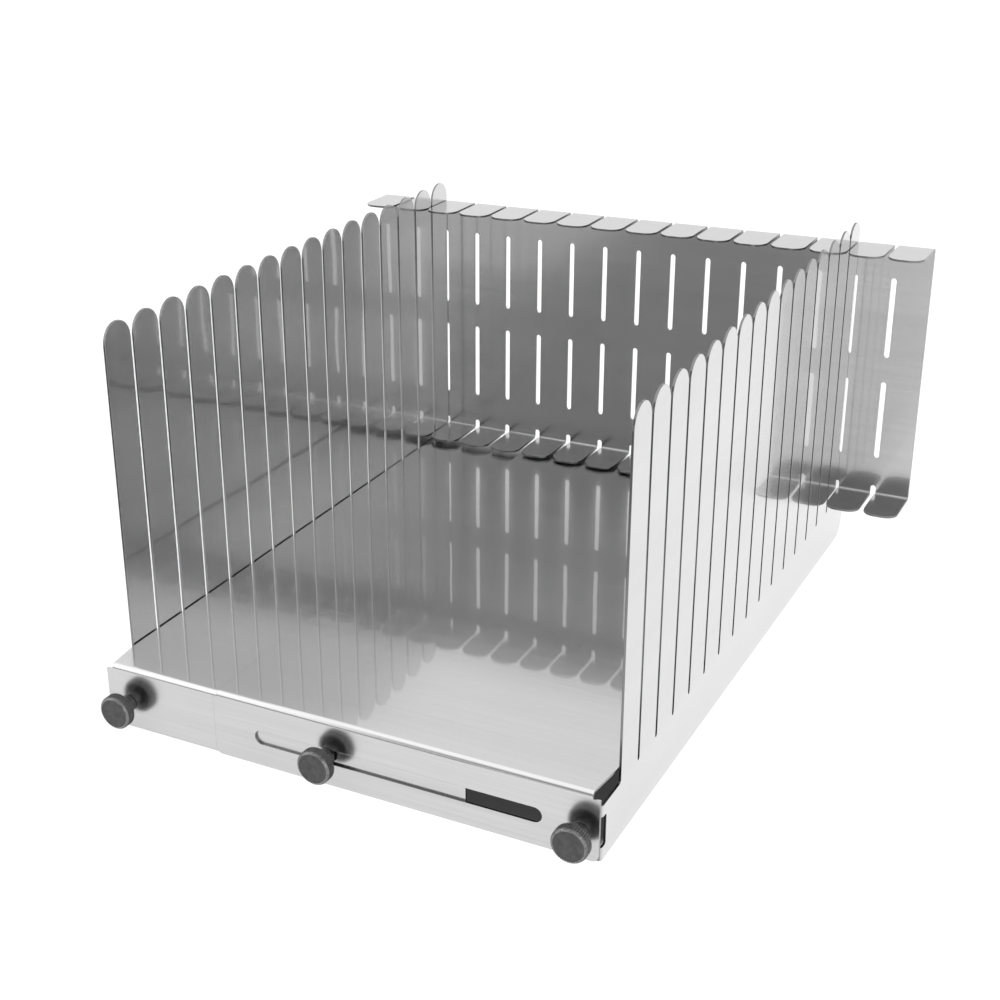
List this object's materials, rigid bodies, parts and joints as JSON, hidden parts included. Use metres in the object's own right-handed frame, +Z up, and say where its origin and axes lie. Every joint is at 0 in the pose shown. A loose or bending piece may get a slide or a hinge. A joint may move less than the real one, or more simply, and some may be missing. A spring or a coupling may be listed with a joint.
{
  "type": "bread slicer guide",
  "caption": "Stainless bread slicing guide: two slotted comb walls on a telescoping base with a lift-off notched back plate and knurled thumb screws.",
  "frame": {"origin": "on the floor under the middle of the guide: midway between the comb walls in X, and midway between the thumb screws' faces and the walls' rear feet in Y", "axes": "+X to the right across the guide, +Y from the front flange to the back plate, +Z up"},
  "size_m": [0.2384, 0.2746, 0.137],
  "materials": {
    "base_sheet": "brushed, half mirror",
    "comb_sheet": "brushed lengthwise, half mirror",
    "plate_sheet": "brushed, half mirror",
    "screw_steel": "dark grey zinc, satin",
    "nut_steel": "plain, satin"
  },
  "bodies": {
    "left_half": {"left_base_tray": "base_sheet", "left_comb_wall": "comb_sheet", "left_corner_nut": "nut_steel", "width_lock_nut": "nut_steel"},
    "right_half": {"right_base_tray": "base_sheet", "right_comb_wall": "comb_sheet", "right_corner_nut": "nut_steel"},
    "back_plate": {"back_plate": "plate_sheet"},
    "left_corner_screw": {"left_corner_screw": "screw_steel"},
    "width_lock_screw": {"width_lock_screw": "screw_steel"},
    "right_corner_screw": {"right_corner_screw": "screw_steel"}
  },
  "joints": [
    {"name": "width_slide", "type": "slide", "parent": "left_half", "child": "right_half", "axis": [1, 0, 0], "range_m": [-0.0003, 0.0003]},
    {"name": "plate_lift", "type": "slide", "parent": "left_half", "child": "back_plate", "axis": [0, 0, 1], "range_m": [0, 0.12]},
    {"name": "left_corner_screw_turn", "type": "hinge", "parent": "left_half", "child": "left_corner_screw", "pos_m": [-0.0818, -0.12875, 0.0091], "axis": [0, 1, 0], "continuous": true},
    {"name": "width_lock_screw_turn", "type": "hinge", "parent": "left_half", "child": "width_lock_screw", "pos_m": [-0.003, -0.12875, 0.0105], "axis": [0, 1, 0], "continuous": true},
    {"name": "right_corner_screw_turn", "type": "hinge", "parent": "right_half", "child": "right_corner_screw", "pos_m": [0.0839, -0.12875, 0.0091], "axis": [0, 1, 0], "continuous": true}
  ]
}
